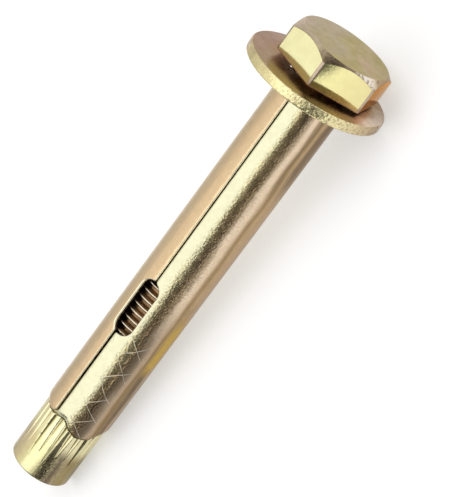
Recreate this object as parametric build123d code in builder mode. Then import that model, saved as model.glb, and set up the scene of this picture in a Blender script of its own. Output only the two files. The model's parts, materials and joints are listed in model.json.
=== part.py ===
from build123d import *
from math import asin, atan2, cos, hypot, radians, sin, sqrt, tan
import os

# Sleeve anchor with a hexagon-head bolt: the bolt, a large washer, a split sleeve and a cone nut.
# It lies on its side as it comes to rest, on the washer's rim and the cone nut's end.
# Heights run along the anchor's axis, from the cone nut's end towards the head.
# Angles run round the axis, anticlockwise as seen from the head, from the front of the anchor.
# All sizes are in millimetres and degrees.

# Thread, drawn at its mean diameter
thread_diameter = 10.0
thread_pitch = 1.5
thread_length = 52.0
thread_clearance = 0.05

# Bolt
shank_diameter = 8.9
bolt_end_recess = 0.8
bolt_end_chamfer = 1.0
head_across_flats = 16.85
head_height = 6.1
head_corner_rounding = 1.2
head_corner_angle = -9.5
head_top_diameter = 16.3
head_top_chamfer_angle = 42.0
head_base_bevel = 0.25
head_clearance = 0.3

# Washer, loose on the shank: the shank lies in the bottom of its hole, and it leans
washer_diameter = 25.3
washer_thickness = 1.85
washer_hole_diameter = 10.9
washer_edge_rounding = 0.3
washer_shank_clearance = 0.1
washer_lean = 2.16
washer_lean_angle = -76.0
washer_seat_clearance = 0.02

# Sleeve, rolled from sheet: a seam along its length, and a window on the seam
sleeve_diameter = 12.0
sleeve_length = 73.8
sleeve_wall = 0.8
sleeve_end_bevel = 0.45
sleeve_end_bevel_length = 2.8
sleeve_top_bevel = 0.15
window_length = 11.6
window_width = 4.0
window_height = 26.4
window_angle = -26.2
upper_seam_angle = -25.5
upper_seam_width = 0.2
lower_seam_angle = -32.4
lower_seam_width = 0.4
seam_mouth_width = 1.1
seam_mouth_length = 1.3

# Wavy end of the sleeve, keyed into the cone nut's collar: angle round the axis, and rise
end_wave = [(-90, 1.2), (-48, 1.05), (-13, 1.75), (8, 0.55), (22, 0.0), (40, 0.2), (90, 1.6)]
end_wave_clearance = 0.08

# Cone nut
nut_diameter = 11.3
nut_collar_length = 10.85
nut_end_rounding = 0.45
cone_length = 7.5
cone_end_wall = 0.05
cone_clearance = 0.05
serration_count = 24
serration_depth = 0.3
serration_length = 6.6
serration_taper_angle = 1.7

# How the anchor lies: the angle round the axis that faces straight up
upward_angle = -52.0

# Sizes that follow
thread_mean_radius = (thread_diameter - 3 * sqrt(3) / 8 * thread_pitch) / 2
shank_radius = shank_diameter / 2
sleeve_radius = sleeve_diameter / 2
sleeve_bore_radius = sleeve_radius - sleeve_wall
nut_radius = nut_diameter / 2
cone_end_radius = thread_diameter / 2 + cone_end_wall
washer_radius = washer_diameter / 2
head_corner_radius = head_across_flats / sqrt(3)
past = 1.0

# Heights up the stack
sleeve_end_height = nut_collar_length
sleeve_top_height = sleeve_end_height + sleeve_length
washer_shift = washer_hole_diameter / 2 - shank_radius - washer_shank_clearance
shift_along_lean = washer_shift * cos(radians(upward_angle - washer_lean_angle))
washer_rise = (sleeve_radius - shift_along_lean) * tan(radians(washer_lean)) + washer_seat_clearance
washer_height = sleeve_top_height + washer_rise
head_rise = (head_corner_radius + shift_along_lean) * tan(radians(washer_lean)) + head_clearance
head_base_height = washer_height + washer_thickness / cos(radians(washer_lean)) + head_rise
head_top_height = head_base_height + head_height

# The line that the floor draws under the anchor, from the nut's rounded end to the washer's rim
rim_lift = washer_radius * tan(radians(washer_lean)) * cos(radians(upward_angle - washer_lean_angle))
rim_out = washer_radius - washer_shift - washer_edge_rounding - (nut_radius - nut_end_rounding)
rim_up = washer_height + rim_lift + washer_edge_rounding - nut_end_rounding
incline = atan2(rim_out, rim_up) + asin((washer_edge_rounding - nut_end_rounding) / hypot(rim_out, rim_up))

# The nut's rounded end touches the floor, and the anchor's box is centred on the origin
nut_end_reach = nut_radius - nut_end_rounding
head_top_reach = head_top_diameter / 2
start_height = nut_end_reach * cos(incline) + nut_end_rounding - nut_end_rounding * sin(incline)
low_x = -nut_end_reach * sin(incline)
high_x = head_top_height * cos(incline) + head_top_reach * sin(incline)

axis_direction = Vector(cos(incline), 0, sin(incline))
upward = Vector(-sin(incline), 0, cos(incline))
start = Vector(-(low_x + high_x) / 2, 0, start_height)
spine = Axis(start, axis_direction)
front = upward.rotate(spine, -upward_angle)
anchor = Plane(origin=start, x_dir=front, z_dir=axis_direction)


def outward(angle):
    """Direction that points away from the axis at an angle round it."""
    return anchor.x_dir.rotate(spine, angle)


def section(angle=0.0):
    """Plane through the axis: x outwards at the angle, y towards the head."""
    return Plane(origin=start, x_dir=outward(angle), z_dir=outward(angle).cross(axis_direction))


def facing(angle):
    """Plane through the axis, seen from outside at the angle: x round the anchor, y towards the head."""
    return Plane(origin=start, x_dir=axis_direction.cross(outward(angle)), z_dir=outward(angle))


def wave_line(drop=0.0):
    """Wavy line of the sleeve's end, from side to side of the anchor, in a facing plane."""
    reach = sleeve_radius + past
    points = [(reach * sin(radians(a)), sleeve_end_height + rise - drop) for a, rise in end_wave]
    return Spline(*points)


# Bolt: hexagon head, shank and thread in one forging
head_chamfer_drop = (head_corner_radius - head_top_diameter / 2) * tan(radians(head_top_chamfer_angle))
with BuildPart() as hex_bolt:
    with BuildSketch(anchor.offset(head_base_height)):
        RegularPolygon(radius=head_corner_radius, side_count=6, rotation=head_corner_angle)
    extrude(amount=head_height)
    fillet(hex_bolt.edges().filter_by(spine), radius=head_corner_rounding)
    with BuildSketch(section()):
        with BuildLine():
            Polyline(
                (0, head_base_height - past),
                (head_corner_radius - head_base_bevel - past, head_base_height - past),
                (head_corner_radius - head_base_bevel, head_base_height),
                (head_corner_radius, head_base_height + head_base_bevel),
                (head_corner_radius, head_top_height - head_chamfer_drop),
                (head_top_diameter / 2, head_top_height),
                (0, head_top_height),
                close=True,
            )
        make_face()
    revolve(axis=spine, mode=Mode.INTERSECT)
    with BuildSketch(anchor.offset(bolt_end_recess)):
        Circle(thread_mean_radius)
    extrude(amount=thread_length)
    chamfer(hex_bolt.faces().sort_by(spine)[0].edges(), length=bolt_end_chamfer)
    with BuildSketch(anchor.offset(bolt_end_recess)):
        Circle(shank_radius)
    extrude(amount=head_base_height - bolt_end_recess)
hex_bolt.part.label = "hex_bolt"

# Washer: stamped ring, its rim and hole slightly rounded
washer_centre = start + washer_shift * upward + washer_height * axis_direction
lean_hinge = Axis(washer_centre, axis_direction.cross(outward(washer_lean_angle)))
washer_normal = axis_direction.rotate(lean_hinge, washer_lean)
with BuildPart() as washer:
    with BuildSketch(Plane(origin=washer_centre, z_dir=washer_normal)):
        Circle(washer_radius)
        Circle(washer_hole_diameter / 2, mode=Mode.SUBTRACT)
    extrude(amount=washer_thickness)
    fillet(washer.edges().filter_by(GeomType.CIRCLE), radius=washer_edge_rounding)
washer.part.label = "washer"

# Sleeve: rolled sheet, open at the seam
window_centre = sleeve_end_height + window_height
with BuildPart() as sleeve:
    with BuildSketch(anchor.offset(sleeve_end_height)):
        Circle(sleeve_radius)
        Circle(sleeve_bore_radius, mode=Mode.SUBTRACT)
    extrude(amount=sleeve_length)
    chamfer(sleeve.edges().group_by(spine)[-1], length=sleeve_top_bevel)
    with BuildSketch(facing(0)):
        with BuildLine():
            wave = wave_line()
            Polyline(wave @ 1, (sleeve_radius + past, 0), (-sleeve_radius - past, 0), wave @ 0)
        make_face()
    extrude(amount=sleeve_radius + past, both=True, mode=Mode.SUBTRACT)
    with BuildSketch(section()):
        with BuildLine():
            Polyline(
                (sleeve_radius - sleeve_end_bevel, sleeve_end_height),
                (sleeve_radius, sleeve_end_height + sleeve_end_bevel_length),
                (sleeve_radius + past, sleeve_end_height + sleeve_end_bevel_length),
                (sleeve_radius + past, sleeve_end_height),
                close=True,
            )
        make_face()
    revolve(axis=spine, mode=Mode.SUBTRACT)
    with BuildSketch(facing(window_angle)):
        with Locations((0, window_centre)):
            SlotOverall(window_length, window_width, rotation=90)
    extrude(amount=sleeve_radius + past, mode=Mode.SUBTRACT)
    with BuildSketch(facing(upper_seam_angle)):
        with Locations((0, window_centre)):
            Rectangle(upper_seam_width, sleeve_length, align=(Align.CENTER, Align.MIN))
    extrude(amount=sleeve_radius + past, mode=Mode.SUBTRACT)
    mouth_height = sleeve_end_height + end_wave[1][1]
    with BuildSketch(facing(lower_seam_angle)):
        with BuildLine():
            Polyline(
                (lower_seam_width / 2, window_centre),
                (-lower_seam_width / 2, window_centre),
                (-lower_seam_width / 2, mouth_height + seam_mouth_length),
                (-lower_seam_width / 2 - seam_mouth_width, mouth_height),
                (-lower_seam_width / 2 - seam_mouth_width, 0),
                (lower_seam_width / 2, 0),
                close=True,
            )
        make_face()
    extrude(amount=sleeve_radius + past, mode=Mode.SUBTRACT)
sleeve.part.label = "sleeve"

# Cone nut: serrated collar outside the sleeve, threaded cone inside it
collar_top_height = nut_collar_length + max(rise for angle, rise in end_wave)
with BuildPart() as cone_nut:
    with BuildSketch(anchor):
        Circle(nut_radius)
    extrude(amount=collar_top_height)
    fillet(cone_nut.edges().group_by(spine)[0], radius=nut_end_rounding)
    with BuildSketch(anchor.offset(collar_top_height)):
        with PolarLocations(nut_radius, serration_count):
            Rectangle(serration_depth * sqrt(2), serration_depth * sqrt(2), rotation=45)
    extrude(amount=-serration_length, taper=serration_taper_angle, mode=Mode.SUBTRACT)
    with BuildSketch(facing(0)):
        with BuildLine():
            wave = wave_line(end_wave_clearance)
            above = 2 * collar_top_height
            Polyline(wave @ 1, (sleeve_radius + past, above), (-sleeve_radius - past, above), wave @ 0)
        make_face()
    extrude(amount=sleeve_radius + past, both=True, mode=Mode.SUBTRACT)
    with BuildSketch(section()):
        with BuildLine():
            Polyline(
                (0, nut_end_rounding),
                (sleeve_bore_radius - cone_clearance, nut_end_rounding),
                (sleeve_bore_radius - cone_clearance, collar_top_height),
                (cone_end_radius, collar_top_height + cone_length),
                (0, collar_top_height + cone_length),
                close=True,
            )
        make_face()
    revolve(axis=spine)
    with BuildSketch(anchor):
        Circle(thread_mean_radius + thread_clearance)
    extrude(amount=collar_top_height + cone_length, mode=Mode.SUBTRACT)
cone_nut.part.label = "cone_nut"

os.makedirs("parts", exist_ok=True)
export_step(hex_bolt.part, "parts/hex_bolt.step")
export_step(washer.part, "parts/washer.step")
export_step(sleeve.part, "parts/sleeve.step")
export_step(cone_nut.part, "parts/cone_nut.step")
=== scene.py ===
# %% [markdown]
# # A sleeve anchor, lying on a white table
#
# A sleeve anchor holds a bracket to a wall. A hexagon-head bolt runs through a large washer and a
# split sleeve into a cone nut. Turning the bolt draws the cone into the sleeve, which spreads and
# grips the drilled hole. All four pieces are steel with a yellow zinc plating.
#
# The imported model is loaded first. It says where the anchor lies, and every piece below is modelled
# to fit it.

# %% Load the frame
import json

import bmesh
import bpy
from math import acos, atan2, cos, pi, radians, sin, sqrt, tan
from mathutils import Matrix, Vector, noise


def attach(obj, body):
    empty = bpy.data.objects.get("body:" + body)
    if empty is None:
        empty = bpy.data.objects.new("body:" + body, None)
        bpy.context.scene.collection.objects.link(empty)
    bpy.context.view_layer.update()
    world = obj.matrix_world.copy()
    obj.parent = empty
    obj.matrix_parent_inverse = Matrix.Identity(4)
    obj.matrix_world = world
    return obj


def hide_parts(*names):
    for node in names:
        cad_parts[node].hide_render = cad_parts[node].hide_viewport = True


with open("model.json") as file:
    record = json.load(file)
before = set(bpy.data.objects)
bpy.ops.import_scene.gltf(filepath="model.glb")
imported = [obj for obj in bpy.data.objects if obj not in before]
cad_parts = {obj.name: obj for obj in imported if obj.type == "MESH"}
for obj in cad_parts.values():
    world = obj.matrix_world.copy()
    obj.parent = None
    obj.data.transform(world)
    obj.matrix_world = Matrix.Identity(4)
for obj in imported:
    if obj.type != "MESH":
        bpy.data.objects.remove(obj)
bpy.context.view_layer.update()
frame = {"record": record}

# %% [markdown]
# ## A workbench for an anchor that lies down
#
# The anchor lies aslant, on the rim of its washer and the end of its nut. Modelling on a slant is
# awkward, so each piece is made upright, in millimetres: X points to the front of the anchor, Z
# from the nut to the head, and heights start at the nut's end. The finished piece is then laid
# down with one matrix, which also turns millimetres into metres.

# %% The matrix that lays a piece down
mm = 0.001
upward_angle = -52.0

turning = next(joint for joint in frame["record"]["behaviour"]["joints"] if joint["name"] == "bolt_turn")
start = Vector(turning["pos_m"])
along = Vector(turning["axis"]).normalized()
upward = Vector((-along.z, 0, along.x)).normalized()
front = Matrix.Rotation(radians(-upward_angle), 3, along) @ upward
side = along.cross(front)
laid = Matrix.Translation(start) @ Matrix((front, side, along)).transposed().to_4x4()
lay_down = laid @ Matrix.Scale(mm, 4)
print("the axis rises by", round(90 - along.angle((0, 0, 1)) * 180 / pi, 2), "degrees")


# %% [markdown]
# ## Small helpers
#
# Blender's edit operators act on whatever is selected. These helpers select by place, in code,
# what a person would click on.

# %% Select, edit and apply
def begin():
    """Nothing selected, in object mode."""
    if bpy.context.object and bpy.context.object.mode == "EDIT":
        bpy.ops.object.mode_set(mode="OBJECT")
    bpy.ops.object.select_all(action="DESELECT")


def work_on(piece):
    """Makes one piece the only selected one, and the active one."""
    begin()
    piece.select_set(True)
    bpy.context.view_layer.objects.active = piece


def choose(piece, kind, test):
    """Selects, in edit mode, the faces, edges or verts that pass the test."""
    mesh = bmesh.from_edit_mesh(piece.data)
    bpy.ops.mesh.select_all(action="DESELECT")
    for item in getattr(mesh, kind):
        if test(item):
            item.select_set(True)
    bmesh.update_edit_mesh(piece.data)


def add_modifier(piece, kind, **settings):
    """Adds a modifier, sets it and applies it."""
    work_on(piece)
    modifier = piece.modifiers.new(kind.title(), kind)
    for name, value in settings.items():
        setattr(modifier, name, value)
    bpy.ops.object.modifier_apply(modifier=modifier.name)


def combine(piece, tool, operation):
    """Adds, cuts or intersects a piece with a closed tool, which is used up."""
    add_modifier(piece, "BOOLEAN", object=tool, operation=operation, solver="EXACT")
    bpy.data.objects.remove(tool)


def weld(piece, distance=0.0005):
    """Merges points that lie in the same place, and turns all faces outwards."""
    work_on(piece)
    bpy.ops.object.mode_set(mode="EDIT")
    bpy.ops.mesh.select_all(action="SELECT")
    bpy.ops.mesh.remove_doubles(threshold=distance)
    bpy.ops.mesh.normals_make_consistent(inside=False)
    bpy.ops.object.mode_set(mode="OBJECT")


def ease(x):
    """Goes smoothly from 0 to 1 as x does."""
    x = max(0.0, min(1.0, x))
    return x * x * (3 - 2 * x)


# %% [markdown]
# ## The lathe
#
# Most of this anchor is turned or round. The lathe starts with a ring, and extrudes and scales it
# through a list of radii and heights, as a pot grows on a wheel. The last ring is closed by a face,
# or joined to the first one when the profile is a closed loop.

# %% A lathe made of extrude and resize
def turn(name, profile, sides, closed=False):
    """Turns a profile of (radius, height) points, and closes its ends or its loop."""
    begin()
    radius, height = profile[0]
    fill = "NOTHING" if closed else "NGON"
    bpy.ops.mesh.primitive_circle_add(
        vertices=sides, radius=radius, fill_type=fill, location=(0, 0, height),
    )
    piece = bpy.context.object
    piece.name = name
    bpy.ops.object.transform_apply(location=True, rotation=True, scale=True)
    bpy.ops.object.mode_set(mode="EDIT")
    bpy.ops.mesh.select_all(action="SELECT")
    rings = profile[1:] + (profile[:1] if closed else [])
    for next_radius, next_height in rings:
        lift = (0, 0, next_height - height)
        bpy.ops.mesh.extrude_region_move(TRANSFORM_OT_translate={"value": lift})
        wider = next_radius / radius
        bpy.ops.transform.resize(value=(wider, wider, 1), center_override=(0, 0, 0))
        radius, height = next_radius, next_height
    bpy.ops.object.mode_set(mode="OBJECT")
    weld(piece)
    return piece


def rounded(corner, before, after, radius, steps=4):
    """Points of an arc that rounds a corner of a profile, between its neighbours."""
    corner, before, after = Vector(corner), Vector(before), Vector(after)
    into, out = (before - corner).normalized(), (after - corner).normalized()
    half = into.angle(out) / 2
    centre = corner + (into + out).normalized() * (radius / sin(half))
    first = corner + into * (radius / tan(half)) - centre
    last = corner + out * (radius / tan(half)) - centre
    points = []
    for step in range(steps + 1):
        share = step / steps
        spoke = first.lerp(last, share).normalized() * radius
        points.append(tuple(centre + spoke))
    return points


# %% [markdown]
# ## Sizes up the anchor
#
# Everything is stacked on the axis: nut, sleeve, washer, head. The heights are worked out from the
# sizes of the pieces, as in the model that was packed.

# %% Heights of the pieces
sleeve_radius = 6.0
sleeve_wall = 0.8
sleeve_end = 10.85
sleeve_length = 73.8
sleeve_top = sleeve_end + sleeve_length

shank_radius = 4.45
washer_radius = 12.65
washer_hole = 5.45
washer_thickness = 1.85
washer_clearance = 0.1
washer_lean = 2.16
washer_lean_angle = -76.0
washer_seat = 0.02

head_across_flats = 16.85
head_height = 6.1
head_clearance = 0.3
head_corner = head_across_flats / sqrt(3)

washer_shift = washer_hole - shank_radius - washer_clearance
lean_slope = tan(radians(washer_lean))
shift_along_lean = washer_shift * cos(radians(upward_angle - washer_lean_angle))
washer_height = sleeve_top + (sleeve_radius - shift_along_lean) * lean_slope + washer_seat
washer_rise = washer_thickness / cos(radians(washer_lean))
head_base = washer_height + washer_rise + (head_corner + shift_along_lean) * lean_slope + head_clearance
head_top = head_base + head_height
print("washer at", round(washer_height, 2), "and head from", round(head_base, 2), "to", round(head_top, 2))

# %% [markdown]
# ## The thread
#
# A thread is a helix, so a flat ring can't grow into it. Here the outline of one thread, exactly one
# pitch tall, is carried round the axis by a Screw modifier. The ends of such a strip are ragged, so
# its last turns are flattened into plain rings, which other parts can be built on.

# %% A threaded wall between two plain rings
thread_pitch = 1.5
thread_start = 0.8
thread_sides = 72


def threaded_wall(name, low, high, outline, low_ring, high_ring, low_fade, high_fade):
    """Thread with an outline of (radius, height) over one pitch, fading to rings of given radius."""
    begin()
    turns = int((high - low) / thread_pitch) + 4
    first = thread_start - thread_pitch * (int((thread_start - low) / thread_pitch) + 2)
    bpy.ops.mesh.primitive_plane_add(size=1)
    wall = bpy.context.object
    wall.name = name
    bpy.ops.object.mode_set(mode="EDIT")
    bpy.ops.mesh.select_all(action="SELECT")
    bpy.ops.mesh.merge(type="CENTER")
    radius, height = 0.0, 0.0
    for next_radius, next_height in outline:
        step = (next_radius - radius, 0, next_height - height)
        if next_height == outline[0][1]:
            bpy.ops.transform.translate(value=(next_radius, 0, first + next_height))
        else:
            bpy.ops.mesh.extrude_region_move(TRANSFORM_OT_translate={"value": step})
        radius, height = next_radius, next_height
    bpy.ops.object.mode_set(mode="OBJECT")
    add_modifier(
        wall, "SCREW", axis="Z", angle=2 * pi, screw_offset=thread_pitch, iterations=turns,
        steps=thread_sides, render_steps=thread_sides, use_merge_vertices=False,
    )
    weld(wall)
    for point in wall.data.vertices:
        x, y, z = point.co
        radius = sqrt(x * x + y * y)
        wanted = low_ring + (radius - low_ring) * ease((z - low) / low_fade)
        wanted = high_ring + (wanted - high_ring) * ease((high - z) / high_fade)
        point.co = (x * wanted / radius, y * wanted / radius, max(low, min(high, z)))
    weld(wall)
    print(name, len(wall.data.polygons), "faces")
    return wall


def close_ring(piece, height, lift=0.0):
    """Extrudes the open ring at a height by a lift, and fills it."""
    work_on(piece)
    bpy.ops.object.mode_set(mode="EDIT")
    choose(piece, "edges", lambda edge: edge.is_boundary and abs(edge.verts[0].co.z - height) < 0.001)
    if lift:
        bpy.ops.mesh.extrude_region_move(TRANSFORM_OT_translate={"value": (0, 0, lift)})
    bpy.ops.mesh.edge_face_add()
    bpy.ops.object.mode_set(mode="OBJECT")


# %% [markdown]
# ## The bolt
#
# The head is a hexagonal prism whose upright corners are rounded by forging. Its top is chamfered in
# a cone, which leaves a curved edge on each flat. Intersecting the prism with a cone gives those
# curves for nothing. A last narrow bevel keeps every edge from being razor sharp.

# %% Forge the head
head_corner_angle = -9.5
head_corner_rounding = 0.7
head_top_radius = 8.15
head_chamfer_angle = 42.0
head_edge = 0.16
head_base_rounding = 0.32
head_dome = 0.1
round_sides = 192


def domed_cone():
    """A cone with a slightly domed top, the shape that trims the head."""
    flare = (head_height + 1) / tan(radians(head_chamfer_angle))
    profile = [(head_top_radius + flare, head_base - 1)]
    for ring in range(10):
        reach = 1 - ring / 10
        profile.append((head_top_radius * reach, head_top - head_dome * reach * reach))
    return turn("chamfer", profile, round_sides)


def forge_head():
    begin()
    bpy.ops.mesh.primitive_cylinder_add(
        vertices=6, radius=head_corner, depth=head_height + 1,
        location=(0, 0, head_base + (head_height + 1) / 2),
        rotation=(0, 0, radians(head_corner_angle - 30)),
    )
    head = bpy.context.object
    head.name = "hex_bolt_forged"
    bpy.ops.object.transform_apply(location=True, rotation=True, scale=True)
    bpy.ops.object.mode_set(mode="EDIT")
    choose(head, "edges", lambda edge: abs(edge.verts[0].co.z - edge.verts[1].co.z) > 1)
    bpy.ops.mesh.bevel(offset=head_corner_rounding * tan(radians(30)), segments=8, affect="EDGES")
    choose(head, "edges", lambda edge: max(point.co.z for point in edge.verts) < head_base + 0.001)
    bpy.ops.mesh.bevel(offset=head_base_rounding, segments=4, affect="EDGES")
    bpy.ops.object.mode_set(mode="OBJECT")
    combine(head, domed_cone(), "INTERSECT")
    weld(head)
    add_modifier(head, "BEVEL", width=head_edge, segments=3, limit_method="ANGLE", angle_limit=radians(28))
    return head


head = forge_head()
print("head", len(head.data.polygons), "faces")

# %% Roll the thread on the shank, and join it to the head
thread_low = thread_start
thread_high = thread_low + 52.0
thread_crest = 4.9
thread_root = 4.16
thread_point = 3.9
thread_outline = [
    (thread_root, 0.0), (thread_root, 0.30), (thread_crest - 0.06, 0.70), (thread_crest, 0.77),
    (thread_crest, 0.87), (thread_crest - 0.06, 0.94), (thread_root, 1.34), (thread_root, 1.5),
]
shank = threaded_wall(
    "shank", thread_low, thread_high, thread_outline, thread_point, shank_radius, 1.2, 1.6
)
close_ring(shank, thread_low)
close_ring(shank, thread_high, head_base + 0.5 - thread_high)
weld(shank)
bolt = head
combine(bolt, shank, "UNION")
bolt.name = "hex_bolt_dressed"
print("bolt", len(bolt.data.polygons), "faces")

# %% [markdown]
# ## The washer
#
# The washer is punched out of sheet. The punch leaves a rounded edge on the top and a rough rim that
# is a little wavy, so the rim gets several rings that a noise can push in and out.

# %% Punch the washer
washer_rounding = 0.3
rim_rings = 7
rim_roughness = 0.05


def punch_washer():
    low_out, high_out = (washer_radius, 0), (washer_radius, washer_thickness)
    low_in, high_in = (washer_hole, 0), (washer_hole, washer_thickness)
    low_edge = rounded(low_out, low_in, high_out, washer_rounding)
    high_edge = rounded(high_out, low_out, high_in, washer_rounding)
    hole_high = rounded(high_in, high_out, low_in, washer_rounding)
    hole_low = rounded(low_in, high_in, low_out, washer_rounding)
    rim = []
    for ring in range(1, rim_rings):
        height = washer_rounding + ring * (washer_thickness - 2 * washer_rounding) / rim_rings
        rim.append((washer_radius, height))
    profile = low_edge + rim + high_edge + hole_high + hole_low
    piece = turn("washer_dressed", profile, 288, closed=True)
    for point in piece.data.vertices:
        x, y, z = point.co
        if Vector((x, y)).length > washer_radius - washer_rounding / 2:
            wave = noise.noise(Vector((x, y, z)) * 1.3) + 0.7 * noise.noise(Vector((x, y, z)) * 4.0)
            push = 1 - rim_roughness * (0.5 + 0.5 * wave) / washer_radius
            point.co = (x * push, y * push, z)
    return piece


def lean_washer(piece):
    """Moves the washer off the axis and leans it, as it hangs on the shank."""
    hinge = Matrix.Rotation(radians(washer_lean_angle + 90), 4, "Z") @ Vector((1, 0, 0))
    shift = Matrix.Rotation(radians(upward_angle), 4, "Z") @ Vector((washer_shift, 0, 0))
    place = Matrix.Translation(shift + Vector((0, 0, washer_height)))
    piece.data.transform(place @ Matrix.Rotation(radians(washer_lean), 4, hinge))


washer = punch_washer()
lean_washer(washer)
print("washer", len(washer.data.polygons), "faces")

# %% [markdown]
# ## The sleeve
#
# The real sleeve starts as a flat blank, cut from sheet with a wavy lower end and half a window in
# each long edge. Its edges are rounded by the cutting, and it is then rolled until the edges almost
# meet in a seam. It is made the same way here: the points of a filled circle are pulled onto the
# outline of the blank, Solidify gives it the sheet's thickness, a bevel rounds its edges, many
# straight cuts make it supple, and a last loop rolls it up.

# %% The wavy end, shared by the sleeve and the nut's collar
end_wave = [(-90, 1.2), (-48, 1.05), (-13, 1.75), (8, 0.55), (22, 0.0), (40, 0.2), (90, 1.6)]


def end_rise(angle):
    """Rise of the sleeve's end at an angle round the axis; the back is as the front."""
    across = sin(radians(angle))
    places = [(sin(radians(at)), rise) for at, rise in end_wave]
    for index in range(len(places) - 1):
        (left, low), (right, high) = places[index], places[index + 1]
        if across <= right:
            return low + (high - low) * ease((across - left) / (right - left))
    return places[-1][1]


# %% Draw the outline of the blank
window_middle = sleeve_end + 26.4
window_angle = -26.2
window_half_width = 2.0
window_half_straight = 3.8
seam_top_angle = -26.0
seam_window_angle = -24.9
seam_low_angle = -32.4
upper_gap = 0.24
lower_gap = 0.44
mouth_cut = 1.1
mouth_length = 1.4
outline_step = 0.25
per_degree = radians(1) * sleeve_radius
round_trip = 2 * pi * sleeve_radius


def window_arc(middle_height, from_angle, to_angle):
    """Points of one round end of the window."""
    points = []
    for step in range(25):
        turned = radians(from_angle + (to_angle - from_angle) * step / 24)
        around = window_angle * per_degree + window_half_width * cos(turned)
        points.append((around, middle_height + window_half_width * sin(turned)))
    return points


def meets_window(around):
    """Angle, from 0 to 180, at which an upright line crosses the window's round end."""
    return acos((around - window_angle * per_degree) / window_half_width) * 180 / pi


def long_edge(side):
    """One long edge of the blank from its lower end up: side is 1 right of the seam, -1 left of it."""
    low = seam_low_angle * per_degree + side * lower_gap / 2
    window_seam = seam_window_angle * per_degree + side * upper_gap / 2
    top_seam = seam_top_angle * per_degree + side * upper_gap / 2
    straight_side = 0 if side > 0 else 180
    low_meet, high_meet = -meets_window(low), meets_window(window_seam)
    if side < 0:
        low_meet += 360
    points = []
    if side < 0:
        foot = sleeve_end + end_rise(seam_low_angle)
        for step in range(8):
            turned = pi / 2 * step / 8
            points.append((low - mouth_cut * (1 - sin(turned)), foot + mouth_length * (1 - cos(turned))))
        points.append((low, foot + mouth_length))
    else:
        points.append((low, sleeve_end + end_rise(seam_low_angle)))
    end_angle = 360 if side > 0 else 180
    low_arc = window_arc(window_middle - window_half_straight, low_meet % 360, end_angle)
    high_arc = window_arc(window_middle + window_half_straight, straight_side, high_meet)
    return points + low_arc + high_arc + [(top_seam, sleeve_top)]


def even_steps(points, step):
    """A closed line's points, moved to even steps along it."""
    spaced = []
    for here, there in zip(points, points[1:] + points[:1]):
        here, there = Vector(here), Vector(there)
        count = max(1, round((there - here).length / step))
        spaced += [here.lerp(there, index / count) for index in range(count)]
    kept = [spaced[0]]
    for point in spaced[1:]:
        if (point - kept[-1]).length > step * 0.6:
            kept.append(point)
    return kept


def soften(points, passes):
    """Rounds the corners of a closed line a little with each pass."""
    for step in range(passes):
        shifted = zip(points[-1:] + points[:-1], points, points[1:] + points[:1])
        points = [before / 4 + here / 2 + after / 4 for before, here, after in shifted]
    return points


def blank_outline():
    """The outline, anticlockwise: wavy end, left edge, top and right edge."""
    right = long_edge(1)
    left = [(around + round_trip, height) for around, height in long_edge(-1)]
    wavy = []
    around = right[0][0]
    while around < left[0][0]:
        wavy.append((around, sleeve_end + end_rise(around / per_degree)))
        around += outline_step
    return soften(even_steps(wavy + left + right[::-1][:-1], outline_step), 3)


# %% Cut the blank, and give it the thickness and the edges of real sheet
edge_rounding = 0.3


def cut_blank():
    begin()
    outline = blank_outline()
    bpy.ops.mesh.primitive_circle_add(vertices=len(outline), radius=10, fill_type="NGON")
    blank = bpy.context.object
    blank.name = "sleeve_dressed"
    ring = sorted(blank.data.vertices, key=lambda point: atan2(point.co.y, point.co.x))
    for point, place in zip(ring, outline):
        point.co = (place.x, place.y, 0)
    add_modifier(blank, "SOLIDIFY", thickness=sleeve_wall, offset=-1.0)
    bpy.ops.object.mode_set(mode="EDIT")
    choose(blank, "edges", lambda edge: abs(edge.verts[0].co.z - edge.verts[1].co.z) < sleeve_wall / 2)
    bpy.ops.mesh.bevel(offset=edge_rounding, segments=4, affect="EDGES", clamp_overlap=False)
    bpy.ops.object.mode_set(mode="OBJECT")
    return blank


def slice_across(blank, first, last, steps, direction):
    """Cuts the sheet along evenly spaced lines, so that it can bend."""
    work_on(blank)
    bpy.ops.object.mode_set(mode="EDIT")
    for step in range(steps + 1):
        place = Vector(direction) * (first + (last - first) * step / steps)
        bpy.ops.mesh.select_all(action="SELECT")
        bpy.ops.mesh.bisect(plane_co=place, plane_no=direction, threshold=0.00001)
    bpy.ops.object.mode_set(mode="OBJECT")


sleeve = cut_blank()
print("blank", len(sleeve.data.polygons), "faces")
slice_across(sleeve, -42 * per_degree, 336 * per_degree, 126, (1, 0, 0))
slice_across(sleeve, sleeve_end + 0.25, sleeve_end + 3.25, 12, (0, 1, 0))
print("sliced", len(sleeve.data.polygons), "faces")

# %% Roll it up, and draw its wavy end in a little
end_draw = 0.42
end_draw_length = 1.3


def mark_places(piece):
    """Writes each point's place on the flat sheet, in millimetres, into a UV map."""
    flat = piece.data.uv_layers.new(name="flat")
    for loop in piece.data.loops:
        place = piece.data.vertices[loop.vertex_index].co
        flat.data[loop.index].uv = (place.x, place.y)


def roll(blank):
    for point in blank.data.vertices:
        around, height, depth = point.co
        angle = around / sleeve_radius
        from_end = height - sleeve_end - end_rise(angle * 180 / pi)
        outer = 1 + depth / sleeve_wall
        drawn = end_draw * outer * max(0.0, 1 - from_end / end_draw_length) ** 2
        radius = sleeve_radius + depth - drawn
        point.co = (radius * cos(angle), radius * sin(angle), height)


def lips_of(blank):
    """The numbers of the faces that round the sheet's outer edges."""
    lips = set()
    for face in blank.data.polygons:
        around, height, depth = face.center
        above_end = height - sleeve_end - end_rise(around / per_degree)
        if depth > -edge_rounding - 0.01 and abs(face.normal.z) < 0.97 and above_end > 0.4:
            lips.add(face.index)
    return lips


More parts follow.
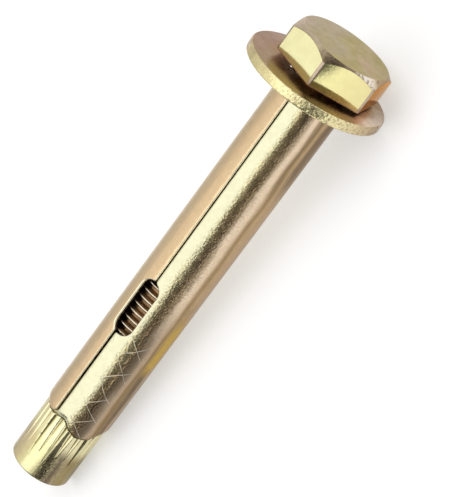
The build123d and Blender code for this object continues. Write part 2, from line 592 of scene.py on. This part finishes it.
mark_places(sleeve)
lips = lips_of(sleeve)
roll(sleeve)
print("sleeve", len(sleeve.data.polygons), "faces,", len(lips), "of them on lips")

# %% [markdown]
# ## The cone nut
#
# The nut's collar is almost as wide as the sleeve, and its upper part is serrated so that it can't
# turn in the drilled hole. Each serration is a V groove that fades out downwards. The lathe makes
# the plain nut with many sides, and a loop then presses the grooves into it. Its thread is cut as in
# a workshop, with a tap: a screw that is slightly larger than the bolt, taken away from the nut.

# %% Turn the nut
nut_radius = 5.65
nut_rounding = 0.45
cone_length = 7.5
cone_radius = 5.05
cone_clearance = 0.05
collar_gap = 0.08
collar_top = sleeve_end + 1.75
serrations = 24
serration_sides = 16
serration_depth = 0.34
serration_half_width = 0.46
serration_low = 4.0
serration_spread = 3.0
tap_clearance = 0.06
mouth_radius = 5.08


def nut_profile():
    inside = sleeve_radius - sleeve_wall - cone_clearance
    foot = rounded((nut_radius, 0), (0, 0), (nut_radius, collar_top), nut_rounding, 6)
    collar = [(nut_radius, 0.9 + 0.45 * row) for row in range(24)]
    edge = [(nut_radius, collar_top - 0.12), (nut_radius - 0.1, collar_top)]
    shoulder = [(inside, collar_top), (inside, collar_top + 0.3)]
    cone = [(cone_radius, collar_top + cone_length)]
    return foot + collar + edge + shoulder + cone


def press_serrations(nut):
    """Presses V grooves, pointed at their low ends, and cuts the collar's top to the sleeve's wave."""
    spacing = 2 * pi / serrations
    flank = serration_depth / serration_half_width
    for point in nut.data.vertices:
        x, y, height = point.co
        radius, angle = sqrt(x * x + y * y), atan2(y, x)
        if height > collar_top + 0.01 or radius < 1:
            continue
        groove = round(angle / spacing)
        off = abs(angle / spacing - groove) * spacing * nut_radius
        low = serration_low + serration_spread * noise.noise((3.7 * cos(groove), 3.7 * sin(groove), 0.5))
        deep = serration_depth * max(0.0, min(1.0, (height - low) / (collar_top - low)))
        press = max(0.0, deep ** 0.7 * serration_depth ** 0.3 - off * flank)
        if radius < nut_radius - 0.2:
            press = 0
        reach = max(0.0, (height - 5) / (collar_top - 5))
        drop = (collar_top - sleeve_end - end_rise(angle * 180 / pi) + collar_gap) * reach
        slimmer = (radius - press) / radius
        point.co = (x * slimmer, y * slimmer, height - drop)


nut = turn("cone_nut_dressed", nut_profile(), serrations * serration_sides)
press_serrations(nut)
tap_outline = [(radius + tap_clearance, height) for radius, height in thread_outline]
tap_high = collar_top + cone_length + 1
tap = threaded_wall(
    "tap", -1.0, tap_high, tap_outline, thread_crest + tap_clearance, thread_crest + tap_clearance, 0.8, 0.8
)
close_ring(tap, -1.0)
close_ring(tap, tap_high)
weld(tap)
combine(nut, tap, "DIFFERENCE")
mouth = turn("mouth", [(mouth_radius + 1, -1), (mouth_radius, 0), (mouth_radius - 1, 1)], 96)
combine(nut, mouth, "DIFFERENCE")
print("nut", len(nut.data.polygons), "faces")

# %% [markdown]
# ## Laying the pieces down
#
# Each piece gets smooth shading, is laid down into the frame, and rides on the body that it belongs
# to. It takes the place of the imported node, which stays behind for the physics.

# %% Lay the pieces down
for piece, node, body, slot in (
    (bolt, "hex_bolt", "bolt", "yellow_zinc_bolt"),
    (washer, "washer", "sleeve", "yellow_zinc_washer"),
    (sleeve, "sleeve", "sleeve", "yellow_zinc_sleeve"),
    (nut, "cone_nut", "nut", "yellow_zinc_nut"),
):
    work_on(piece)
    bpy.ops.object.shade_smooth_by_angle(angle=radians(32))
    piece.data.transform(lay_down)
    piece.data.update()
    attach(piece, body)
    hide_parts(node)
    print(piece.name, "rides on", body)

# %% [markdown]
# ## Yellow zinc
#
# Yellow zinc is a mirror-like coat with a thin film on it, so its colour drifts between straw, olive
# and rose, as on an oil slick. As it is a metal, most of what one sees is a reflection, which the colour
# tints. The tint runs in bands round the axis or along the sheet, shifted a little by noise; in places
# the bands also paint light, shade and reflections into the colour. Edges get coats of their own: the
# washer's punched rim, and edges painted pale as highlights or darker as reflections. Every coat ends
# in the same way: mottling, a polish that varies, and grain in the bump.
#
# The pattern reads Object coordinates. A Mapping node brings them back to the upright anchor in
# millimetres, so that noise scales are in real sizes and height runs along the anchor.

# %% Helpers for nodes
def add_node(tree, kind, sockets=None, **settings):
    """Adds a node; a socket is given a value, or another node's output to link."""
    made = tree.nodes.new("ShaderNode" + kind)
    for name, value in settings.items():
        setattr(made, name, value)
    for socket, value in (sockets or {}).items():
        if isinstance(value, bpy.types.NodeSocket):
            tree.links.new(value, made.inputs[socket])
        else:
            made.inputs[socket].default_value = value
    return made


def calculate(tree, operation, first, second=0.0, third=0.0):
    """A Math node's output."""
    return add_node(tree, "Math", {0: first, 1: second, 2: third}, operation=operation).outputs[0]


def times(tree, first, second):
    return calculate(tree, "MULTIPLY", first, second)


def remap(tree, value, low, high, to_low=0.0, to_high=1.0):
    """A smooth, clamped Map Range node's output."""
    ends = {"Value": value, "From Min": low, "From Max": high, "To Min": to_low, "To Max": to_high}
    return add_node(tree, "MapRange", ends, interpolation_type="SMOOTHSTEP").outputs["Result"]


def noise_at(tree, place, scale, detail=2.0, distortion=0.0):
    """A Noise node's value; scale is in waves per millimetre."""
    sockets = {"Vector": place, "Scale": scale, "Detail": detail, "Distortion": distortion}
    return add_node(tree, "TexNoise", sockets).outputs["Fac"]


def ramp(tree, value, stops):
    """A colour ramp's output from (position, colour) stops."""
    made = add_node(tree, "ValToRGB", {"Fac": value})
    elements = made.color_ramp.elements
    while len(elements) < len(stops):
        elements.new(0.5)
    for element, (position, colour) in zip(elements, stops):
        element.position = position
        element.color = (*colour, 1)
    return made.outputs["Color"]


def blend(tree, share, first, second, kind="MIX"):
    """A colour mix; first and second are colours or outputs."""
    made = add_node(tree, "Mix", {"Factor": share}, data_type="RGBA", blend_type=kind)
    for socket, value in ((made.inputs["A"], first), (made.inputs["B"], second)):
        if isinstance(value, bpy.types.NodeSocket):
            tree.links.new(value, socket)
        else:
            socket.default_value = (*value, 1)
    return made.outputs["Result"]


def parts_of(tree, vector):
    """X, Y and Z of a vector, by name."""
    return add_node(tree, "SeparateXYZ", {"Vector": vector}).outputs


def turned_by(tree, place):
    """Degrees round the axis, from -180 to 180; 0 is the front."""
    axes = parts_of(tree, place)
    return times(tree, calculate(tree, "ARCTAN2", axes["Y"], axes["X"]), 180 / pi)


def distance_out(tree, place):
    """Distance from the axis."""
    axes = parts_of(tree, place)
    across = add_node(tree, "CombineXYZ", {"X": axes["X"], "Y": axes["Y"]}).outputs["Vector"]
    return add_node(tree, "VectorMath", {0: across}, operation="LENGTH").outputs["Value"]


def bands(tree, value, stops):
    """Colours, or grey levels, along a value, from (value, colour or level) stops."""
    low, high = stops[0][0], stops[-1][0]
    share = calculate(tree, "MULTIPLY_ADD", value, 1 / (high - low), -low / (high - low))
    shades = []
    for at, shade in stops:
        colour = shade if isinstance(shade, tuple) else (shade, shade, shade)
        shades.append(((at - low) / (high - low), colour))
    return ramp(tree, share, shades)


# %% The coat that all pieces share
straw = (0.80, 0.74, 0.40)
# A dark brown for specks, and for the painted shade on the sleeve.
shade_and_speck_brown = (0.11, 0.08, 0.05)


def start_coat(name, glancing=(0.78, 0.74, 0.72)):
    """A metallic material with its tint at a glancing angle, its tree, and the upright place."""
    material = bpy.data.materials.new(name)
    material.use_nodes = True
    tree = material.node_tree
    shader = tree.nodes["Principled BSDF"]
    shader.inputs["Metallic"].default_value = 1
    shader.inputs["Specular Tint"].default_value = (*glancing, 1)
    there = add_node(tree, "TexCoord").outputs["Object"]
    upright = add_node(
        tree, "Mapping", {"Vector": there, "Location": laid.translation, "Rotation": laid.to_euler(),
                          "Scale": (mm, mm, mm)}, vector_type="TEXTURE",
    )
    return material, tree, upright.outputs["Vector"]


def finish_coat(tree, place, colour, roughness, relief, depth, mottle=0.08):
    """Adds fine mottling, varied polish and grain, and connects the shader."""
    shader = tree.nodes["Principled BSDF"]
    cloud = noise_at(tree, place, 0.9, 3)
    shade = remap(tree, cloud, 0.3, 0.7, 1 - mottle, 1 + mottle / 2)
    grey = add_node(tree, "CombineColor", {"Red": shade, "Green": shade, "Blue": shade}).outputs["Color"]
    tree.links.new(blend(tree, 1.0, colour, grey, "MULTIPLY"), shader.inputs["Base Color"])
    polish = remap(tree, noise_at(tree, place, 0.55, 4), 0.3, 0.7, roughness * 0.8, roughness * 1.25)
    tree.links.new(polish, shader.inputs["Roughness"])
    grain = noise_at(tree, place, 2.6, 3)
    height = calculate(tree, "ADD", grain, relief) if relief else grain
    bump = add_node(tree, "Bump", {"Height": height, "Distance": depth * mm, "Strength": 1.0})
    tree.links.new(bump.outputs["Normal"], shader.inputs["Normal"])


# %% The bolt: bright flats, each with its own tint and painted reflection
# Painted reflection: each flat's tint is partly the zinc's colour and partly the light or dark reflection
# that flat shows.
flat_tints_and_painted_reflections = [
    ((0.84, 0.70, 0.40), (0.80, 0.66, 0.38)), ((0.62, 0.50, 0.31), (0.55, 0.45, 0.28)),
    ((0.97, 0.93, 0.50), (0.97, 0.93, 0.52)), ((0.88, 0.83, 0.39), (0.78, 0.68, 0.34)),
    ((0.66, 0.36, 0.15), (0.66, 0.40, 0.18)), ((0.80, 0.62, 0.34), (0.84, 0.72, 0.42)),
]


def flats_coat():
    """The trimmed flats are smooth, so they mirror; each flat's tint also paints its reflection lighter or
    darker.
    """
    material, tree, place = start_coat("yellow_zinc_bolt_flats", (0.86, 0.58, 0.32))
    from_corner = calculate(tree, "SUBTRACT", turned_by(tree, place), head_corner_angle)
    round_once = calculate(tree, "WRAP", from_corner, 180.0, -180.0)
    stops = []
    for index, (near, far) in enumerate(flat_tints_and_painted_reflections):
        corner = 60 * index - 180
        stops += [(corner + 1.5, near), (corner + 58.5, far)]
    colour = bands(tree, round_once, stops)
    drift = remap(tree, noise_at(tree, place, 0.2, 2, 0.4), 0.4, 0.8, 0.0, 0.2)
    finish_coat(tree, place, blend(tree, drift, colour, (0.80, 0.64, 0.34)), 0.10, None, 0.004, 0.03)
    return material


def thread_coat():
    """Crests painted pale as a highlight, and roots painted dull brown as shade in the grooves."""
    material, tree, place = start_coat("yellow_zinc_bolt_thread")
    # Painted highlight on the crests, and painted shade in the roots.
    streaks_and_highlight = remap(tree, distance_out(tree, place), thread_crest - 0.10, thread_crest - 0.02)
    shaded_browns = [(0.35, (0.16, 0.10, 0.05)), (0.65, (0.30, 0.19, 0.10))]
    root_shade = ramp(tree, noise_at(tree, place, 0.6, 3), shaded_browns)
    colour = blend(tree, streaks_and_highlight, root_shade, (0.90, 0.80, 0.62))
    finish_coat(tree, place, colour, 0.30, None, 0.02)
    return material


# %% The bolt: satin top, chamfer and edges of the head
def satin_coat():
    """The die leaves the head's top rougher, so its coat is duller."""
    material, tree, place = start_coat("yellow_zinc_bolt_satin")
    drift = remap(tree, noise_at(tree, place, 0.15, 2, 0.5), 0.3, 0.7, -4.0, 4.0)
    across = calculate(tree, "ADD", parts_of(tree, place)["Y"], drift)
    colour = bands(tree, across, [
        (-9, (0.52, 0.42, 0.32)), (-3, (0.45, 0.38, 0.22)), (3, (0.45, 0.38, 0.16)),
        (9, (0.56, 0.42, 0.28)),
    ])
    finish_coat(tree, place, colour, 0.36, None, 0.03)
    return material


def chamfer_coat():
    """The chamfer is as dull as the top; beside one corner it is painted white as a highlight, and dark
    streaks cross its front.
    """
    material, tree, place = start_coat("yellow_zinc_bolt_chamfer")
    # Painted highlight: the pale stops from 36 to 48 degrees stand for light caught beside one corner.
    colour = bands(tree, turned_by(tree, place), [
        (-180, (0.42, 0.32, 0.20)), (-70, (0.66, 0.54, 0.40)), (-25, (0.58, 0.48, 0.32)),
        (-12, (0.34, 0.26, 0.16)), (2, (0.24, 0.17, 0.11)), (22, (0.34, 0.27, 0.20)),
        (36, (0.84, 0.78, 0.68)), (48, (0.80, 0.70, 0.58)), (58, (0.46, 0.33, 0.20)),
        (180, (0.42, 0.32, 0.20)),
    ])
    dirt = remap(tree, noise_at(tree, place, 1.6, 3, 0.4), 0.50, 0.62, 0.0, 0.7)
    # Band where the dark streaks fall, across the front and the painted highlight.
    streaks_and_highlight = bands(tree, turned_by(tree, place), [
        (-180, 0.2), (-25, 0.2), (-8, 1.0), (52, 1.0), (62, 0.2), (180, 0.2),
    ])
    colour = blend(tree, times(tree, dirt, streaks_and_highlight), colour, (0.20, 0.14, 0.09))
    finish_coat(tree, place, colour, 0.28, None, 0.05)
    return material


def edge_coat(name, colour):
    """One plain colour for a band of narrow faces of the head."""
    material, tree, place = start_coat(name)
    finish_coat(tree, place, colour, 0.30, None, 0.03)
    return material


# %% The washer: pressed faces and torn rim
def washer_coat():
    """Rose, olive and straw drift over the faces; bands by angle are partly tint and partly painted light,
    and a painted reflection browns the face round the head.
    """
    material, tree, place = start_coat("yellow_zinc_washer_face")
    drift = noise_at(tree, place, 0.10, 2, 0.5)
    colour = ramp(tree, drift, [
        (0.30, (0.40, 0.27, 0.20)), (0.45, (0.46, 0.31, 0.19)), (0.57, (0.48, 0.36, 0.21)),
        (0.70, (0.44, 0.38, 0.28)),
    ])
    # Painted light: the bands by angle are the zinc's tint, with the right part painted bright where its
    # reflection renders too dark.
    sides = bands(tree, turned_by(tree, place), [
        (-180, (0.44, 0.34, 0.22)), (-100, (0.34, 0.20, 0.15)), (-60, (0.33, 0.22, 0.13)),
        (-30, (0.36, 0.27, 0.12)), (10, (0.40, 0.29, 0.13)), (35, (0.44, 0.28, 0.14)),
        (56, (0.96, 0.76, 0.60)), (80, (0.84, 0.75, 0.66)), (115, (0.46, 0.34, 0.22)),
        (180, (0.44, 0.34, 0.22)),
    ])
    # Painted reflection and shade: browner towards the head, as the head's dark base mirrors in the face
    # round it.
    wobble = remap(tree, noise_at(tree, place, 0.3, 2), 0.3, 0.7, -0.5, 0.5)
    painted_head_reflection = remap(tree, calculate(tree, "ADD", distance_out(tree, place), wobble), 9.0, 11.0, 0.7, 0.0)
    colour = blend(tree, painted_head_reflection, blend(tree, 0.8, colour, sides), (0.36, 0.21, 0.08))
    finish_coat(tree, place, colour, 0.30, None, 0.03)
    return material


def rim_coat():
    """The punched rim is torn in front, with dirt in its pits."""
    material, tree, place = start_coat("yellow_zinc_washer_rim")
    degrees = turned_by(tree, place)
    drift = remap(tree, noise_at(tree, place, 0.25, 2, 0.5), 0.3, 0.7, -20.0, 20.0)
    colour = bands(tree, calculate(tree, "ADD", degrees, drift), [
        (-200, straw), (-130, (0.56, 0.44, 0.28)), (-82, (0.66, 0.51, 0.33)),
        (-60, (0.80, 0.69, 0.36)), (0, (0.86, 0.78, 0.42)), (28, (0.64, 0.52, 0.31)),
        (60, (0.42, 0.31, 0.20)), (95, (0.62, 0.50, 0.36)), (200, straw),
    ])
    torn = noise_at(tree, place, 1.4, 4, 0.6)
    ragged = bands(tree, degrees, [
        (-180, 0.5), (-60, 0.15), (-25, 0.2), (-8, 1.0), (22, 0.8), (60, 0.6), (180, 0.5),
    ])
    pits = times(tree, remap(tree, noise_at(tree, place, 2.4, 3, 0.5), 0.50, 0.62), ragged)
    colour = blend(tree, times(tree, pits, 0.7), colour, (0.22, 0.15, 0.09))
    relief = times(tree, times(tree, torn, 2.4), ragged)
    finish_coat(tree, place, colour, 0.24, relief, 0.05)
    return material


# %% The sleeve: bands of tint and painted shade along the sheet, and scores
# Painted reflection and shade: besides the zinc's tints, the dark band near 19 degrees and the darker right
# side from 41 degrees on stand for dim reflections.
sleeve_tints_and_painted_shade = [
    (-40, (0.78, 0.62, 0.36)), (-28, (0.71, 0.69, 0.47)), (-4, (0.71, 0.69, 0.47)),
    (5, (0.74, 0.64, 0.36)), (12, (0.70, 0.51, 0.27)), (19, (0.34, 0.25, 0.15)),
    (24, (0.50, 0.39, 0.26)), (28, (0.74, 0.59, 0.43)), (35, (0.70, 0.55, 0.38)),
    (41, (0.52, 0.38, 0.25)), (48, (0.32, 0.22, 0.11)), (56, (0.48, 0.34, 0.19)),
    (72, (0.56, 0.41, 0.26)), (90, (0.50, 0.38, 0.24)), (130, (0.78, 0.66, 0.38)),
    (220, (0.78, 0.58, 0.36)), (285, (0.72, 0.60, 0.40)), (300, (0.78, 0.60, 0.37)),
    (320, (0.80, 0.58, 0.34)), (338, (0.76, 0.57, 0.34)),
]
# Painted shade on the right side: low down, where the shadowed table mirrors, and near the washer, under
# its shadow.
painted_shade_low = [
    (-40, 0.0), (12, 0.0), (17, 0.8), (22, 0.95), (29, 0.8), (36, 0.5), (43, 0.1), (52, 0.35), (59, 0.8),
    (64, 0.6), (68, 0.0), (73, 0.0), (79, 0.7), (100, 0.3), (338, 0.0),
]
painted_shade_high = [
    (-40, 0.0), (36, 0.0), (45, 0.5), (52, 0.1), (57, 0.0), (64, 0.7), (73, 0.6), (88, 0.3), (338, 0.0),
]


score_half_width = 0.08
yellow = (0.62, 0.42, 0.09)
rubbed = (0.95, 0.88, 0.74)


def score_lines(tree, around, height, slant, pitch, first, wander):
    """Thin parallel scores that cross the sheet at a slant, 1 in their middle."""
    across = calculate(tree, "MULTIPLY_ADD", around, slant, height)
    across = calculate(tree, "ADD", across, wander)
    nearest = calculate(tree, "PINGPONG", calculate(tree, "ADD", across, 20 * pitch - first), pitch / 2)
    return remap(tree, nearest, 0.0, score_half_width, 1.0, 0.0)


def sleeve_coat():
    """Bands of tint and painted shade along the sheet, more painted shade low down and near the washer,
    specks and two sets of scores.
    """
    material, tree, place = start_coat("yellow_zinc_sleeve_rolled")
    flat = parts_of(tree, add_node(tree, "UVMap", uv_map="flat").outputs["UV"])
    around, height = flat["X"], flat["Y"]
    stretched = add_node(tree, "Mapping", {"Vector": place, "Scale": (1.0, 1.0, 0.12)}).outputs["Vector"]
    shift = remap(tree, noise_at(tree, stretched, 0.5, 3), 0.25, 0.75, -5.0, 5.0)
    shift = calculate(tree, "ADD", shift, remap(tree, height, 60.0, 74.0, 0.0, 4.0))
    degrees = calculate(tree, "MULTIPLY_ADD", around, 1 / per_degree, shift)
    low = bands(tree, degrees, painted_shade_low)
    low = times(tree, low, remap(tree, height, 30.0, 46.0, 1.0, 0.0))
    high = bands(tree, degrees, painted_shade_high)
    high = times(tree, high, remap(tree, height, 64.0, 72.0))
    colour = bands(tree, degrees, sleeve_tints_and_painted_shade)
    # Painted shade, in dark brown.
    colour = blend(tree, calculate(tree, "MAXIMUM", low, high), colour, shade_and_speck_brown)
    patch = bands(tree, degrees, [(-40, 0.0), (50, 0.0), (60, 0.9), (82, 0.9), (100, 0.0), (338, 0.0)])
    reach = bands(tree, height, [(20, 0.0), (26, 0.0), (29, 1.0), (36, 1.0), (41, 0.0)])
    colour = blend(tree, times(tree, patch, reach), colour, yellow)

    fine = noise_at(tree, place, 2.8, 3)
    rough_part = bands(tree, degrees, [
        (-40, 0.0), (-7, 0.0), (3, 1.0), (22, 1.0), (32, 0.25), (80, 0.1), (338, 0.0),
    ])
    rough_part = times(tree, rough_part, remap(tree, height, 50.0, 76.0, 1.0, 0.4))
    specks = times(tree, remap(tree, fine, 0.48, 0.60), rough_part)
    colour = blend(tree, times(tree, specks, 0.45), colour, shade_and_speck_brown)

    wander = remap(tree, noise_at(tree, place, 0.12, 0), 0.2, 0.8, -0.6, 0.6)
    rising = score_lines(tree, around, height, -0.84, 5.35, 18.5, wander)
    falling = score_lines(tree, around, height, 0.84, 4.7, 18.4, wander)
    lines = calculate(tree, "MAXIMUM", rising, falling)
    low_part = remap(tree, height, 31.0, 37.0, 1.0, 0.0)
    front_part = bands(tree, degrees, [(-40, 0.0), (-8, 0.0), (2, 1.0), (24, 1.0), (36, 0.0), (338, 0.0)])
    scores = times(tree, times(tree, lines, low_part), front_part)
    colour = blend(tree, scores, colour, rubbed)
    relief = calculate(tree, "MULTIPLY_ADD", scores, -1.2, times(tree, fine, rough_part))
    finish_coat(tree, place, colour, 0.20, relief, 0.045, 0.04)
    return material


def lip_coat():
    """The rounded edges of the sheet, painted pale as a highlight."""
    material, tree, place = start_coat("yellow_zinc_sleeve_lip")
    # Painted highlight along the sheet's rounded edges.
    finish_coat(tree, place, (0.96, 0.90, 0.66), 0.22, None, 0.02)
    return material


def bore_coat():
    """The sleeve's inside gets little zinc and stays dull, and its dark brown is also painted shade of the
    hollow.
    """
    material, tree, place = start_coat("yellow_zinc_sleeve_bore")
    # Painted shade inside the hollow sleeve, on top of its duller zinc.
    shaded_browns = [(0.35, (0.22, 0.16, 0.09)), (0.65, (0.36, 0.27, 0.16))]
    colour = ramp(tree, noise_at(tree, place, 0.5, 3), shaded_browns)
    finish_coat(tree, place, colour, 0.36, None, 0.03)
    return material


# %% The nut
# Painted reflection: the tints by angle, with the dark band near 25 degrees, stand for what the turned end
# mirrors.
nut_tints_and_painted_reflections = [
    (-180, straw), (-95, (0.56, 0.50, 0.34)), (-72, (0.56, 0.50, 0.34)), (-60, (0.78, 0.66, 0.40)),
    (-45, (0.74, 0.62, 0.36)), (-35, (0.70, 0.62, 0.32)), (-20, (0.80, 0.76, 0.42)),
    (-9, (0.78, 0.74, 0.40)), (-2, (0.56, 0.52, 0.29)), (5, (0.42, 0.38, 0.20)), (10, (0.70, 0.62, 0.34)),
    (18, (0.36, 0.31, 0.18)), (25, (0.15, 0.12, 0.08)), (33, (0.38, 0.31, 0.18)), (55, (0.32, 0.25, 0.11)),
    (65, (0.38, 0.32, 0.17)), (85, (0.27, 0.23, 0.12)), (125, straw), (180, straw),
]


def nut_coat():
    """Bands round the axis paint the turned end's reflections into its colour, and the bottoms of the
    grooves and the foot are painted dark as shade.
    """
    material, tree, place = start_coat("yellow_zinc_nut_turned")
    height = parts_of(tree, place)["Z"]
    shift = remap(tree, noise_at(tree, place, 0.3, 3), 0.25, 0.75, -4.0, 4.0)
    colour = bands(tree, calculate(tree, "ADD", turned_by(tree, place), shift), nut_tints_and_painted_reflections)
    pressed = remap(tree, height, 5.5, 8.5, 0.0, 0.65)
    colour = blend(tree, pressed, colour, (0.96, 0.90, 0.55))
    # Painted shade in the bottoms of the grooves.
    deep = remap(tree, distance_out(tree, place), nut_radius - 0.28, nut_radius - 0.12, 0.55, 0.0)
    deep = times(tree, deep, remap(tree, height, 2.0, 3.0))
    # Painted shade at the foot, where the nut meets the table.
    foot = bands(tree, height, [(0.0, 0.0), (0.05, 0.7), (0.16, 0.5), (0.30, 0.0), (1.0, 0.0)])
    colour = blend(tree, calculate(tree, "MAXIMUM", deep, foot), colour, (0.16, 0.12, 0.06))
    fine = noise_at(tree, place, 2.8, 3)
    rough_part = bands(tree, turned_by(tree, place), [
        (-180, 0.0), (-8, 0.0), (8, 1.0), (30, 1.0), (50, 0.2), (180, 0.0),
    ])
    rough_part = times(tree, rough_part, remap(tree, height, 4.0, 7.0, 1.0, 0.15))
    specks = times(tree, remap(tree, fine, 0.46, 0.60, 0.5, 0.0), rough_part)
    colour = blend(tree, specks, colour, shade_and_speck_brown)
    relief = times(tree, times(tree, fine, rough_part), 2.0)
    finish_coat(tree, place, colour, 0.17, relief, 0.02, 0.05)
    return material


# %% Dress the pieces
upright_face = 0.05
flat_top = 0.985
chamfer_low = 0.70
widest_corner_face = 2.0


def dress(piece, coats):
    """Gives each face the last of the (coat, test) pairs whose test it passes."""
    piece.data.materials.clear()
    for index, (coat, test) in enumerate(coats):
        piece.data.materials.append(coat)
        for face in piece.data.polygons:
            if test(face):
                face.material_index = index


def everywhere(face):
    return True


def off_axis(face):
    """Distance of a face's middle from the anchor's axis, in millimetres."""
    out = face.center - start
    return (out - along * out.dot(along)).length / mm


def up_axis(face):
    return (face.center - start).dot(along) / mm


def on_head(face, low, high):
    """Tests whether a face of the head looks up the axis by a share between low and high."""
    return up_axis(face) > head_base - 0.05 and low < face.normal.dot(along) < high


def on_corner(face):
    """Tests for the narrow faces that round an upright corner of the head."""
    return on_head(face, -upright_face, upright_face) and face.area < widest_corner_face * mm * mm


def on_base(face):
    return on_head(face, -1.1, -upright_face)


def on_edge(face):
    """Tests for the narrow faces between the flats and the chamfer."""
    return on_head(face, upright_face, chamfer_low)


def below_head(face):
    return up_axis(face) < head_base - 0.05 and off_axis(face) < 5.5


def washers_face(face):
    return abs(face.normal.dot(along)) > 0.9


def bore(face):
    return off_axis(face) < sleeve_radius - 0.3


def on_lip(face):
    return face.index in lips


dress(bolt, [
    (flats_coat(), everywhere),
    # Painted highlight: the base rounding's pale pink stands for a pale line of light along the head's
    # base.
    (edge_coat("yellow_zinc_bolt_base", (0.85, 0.66, 0.55)), on_base),
    # Painted reflection: the rounded corners are painted darker, for the dim surroundings they mirror.
    (edge_coat("yellow_zinc_bolt_corner", (0.50, 0.40, 0.29)), on_corner),
    (edge_coat("yellow_zinc_bolt_edge", (0.24, 0.17, 0.10)), on_edge),
    (chamfer_coat(), lambda face: on_head(face, chamfer_low, flat_top)),
    (satin_coat(), lambda face: on_head(face, flat_top, 1.1)),
    (thread_coat(), below_head),
])
dress(washer, [(rim_coat(), everywhere), (washer_coat(), washers_face)])
dress(sleeve, [(sleeve_coat(), everywhere), (bore_coat(), bore), (lip_coat(), on_lip)])
dress(nut, [(nut_coat(), everywhere)])
for piece in (bolt, washer, sleeve, nut):
    print(piece.name, [material.name for material in piece.data.materials])

# %% [markdown]
# ## Table and light
#
# Polished metal shows its surroundings, so the studio is what really paints it. Across the anchor
# there are, from left to right: a pale wall, one long softbox overhead, a dim room behind the
# camera, and the white table. On the round sleeve they become a tan side, a white band, a dark band
# and a pink side.

# %% The table
paper_grey = 0.68
paper_glow = 0.42


def white_paper():
    """White where it is lit; the camera and reflections see it a little brighter."""
    paint = bpy.data.materials.new("table_white")
    paint.use_nodes = True
    tree = paint.node_tree
    shader = tree.nodes["Principled BSDF"]
    shader.inputs["Base Color"].default_value = (paper_grey, paper_grey, paper_grey, 1)
    shader.inputs["Roughness"].default_value = 0.9
    shader.inputs["Specular IOR Level"].default_value = 0.0
    path = add_node(tree, "LightPath").outputs
    seen = calculate(tree, "MAXIMUM", path["Is Camera Ray"], path["Is Glossy Ray"])
    seen = calculate(tree, "MAXIMUM", seen, path["Is Transmission Ray"])
    shader.inputs["Emission Color"].default_value = (1, 1, 1, 1)
    glow = times(tree, seen, paper_glow)
    tree.links.new(glow, shader.inputs["Emission Strength"])
    return paint


begin()
bpy.ops.mesh.primitive_plane_add(size=8)
table = bpy.context.object
table.name = "table"
table.data.materials.append(white_paper())

# %% The softbox
softbox_from = -2.0
softbox_to = 55.5
softbox_distance = 1.5
softbox_length = 4.0
softbox_brightness = 1.3

bpy.ops.object.light_add(type="AREA")
softbox = bpy.context.object
softbox.name = "softbox"
tilt = radians((softbox_from + softbox_to) / 2)
softbox.location = (0, -softbox_distance * sin(tilt), softbox_distance * cos(tilt))
softbox.rotation_euler = (tilt, 0, 0)
softbox.data.shape = "RECTANGLE"
softbox.data.size = softbox_length
softbox.data.size_y = 2 * softbox_distance * tan(radians((softbox_to - softbox_from) / 2))
softbox.data.energy = softbox_brightness * pi * softbox.data.size * softbox.data.size_y
print("softbox", round(softbox.data.size_y, 2), "m wide,", round(softbox.data.energy, 1), "W")

# %% The room around
room_stops = [
    (-180, 0.75), (-95, 0.75), (-65, 0.68), (-48, 0.78), (-25, 0.98), (-3, 1.0), (1, 0.12), (180, 0.12),
]

world = bpy.data.worlds.new("studio")
bpy.context.scene.world = world
world.use_nodes = True
tree = world.node_tree
looking = add_node(tree, "SeparateXYZ", {"Vector": add_node(tree, "TexCoord").outputs["Generated"]}).outputs
towards_camera = times(tree, looking["Y"], -1.0)
zenith = calculate(tree, "ARCTAN2", towards_camera, looking["Z"])
share = calculate(tree, "MULTIPLY_ADD", zenith, 1 / (2 * pi), 0.5)
stops = [((at + 180) / 360, (level, level, level)) for at, level in room_stops]
tree.links.new(ramp(tree, share, stops), tree.nodes["Background"].inputs["Color"])

# %% [markdown]
# ## The camera

# %% Camera
camera_place = Vector((377.62, 0, 207.99))
camera_forward = Vector((-0.92601, 0.01153, -0.37733))
picture_up = Vector((-0.30992, -0.59392, 0.74243))
lens = 178.6

bpy.ops.object.camera_add()
camera = bpy.context.object
turned = laid.to_3x3()
forward = (turned @ camera_forward).normalized()
top = (turned @ picture_up).normalized()
right = forward.cross(top)
facing = Matrix((right, top, -forward)).transposed().to_4x4()
camera.matrix_world = Matrix.Translation(lay_down @ camera_place) @ facing
camera.data.lens = lens
camera.data.sensor_width = 36
camera.data.clip_start = 0.01
bpy.context.scene.camera = camera
bpy.context.scene.view_settings.view_transform = "Standard"
print("camera at", [round(c, 4) for c in camera.location], "looking along", [round(c, 3) for c in forward])
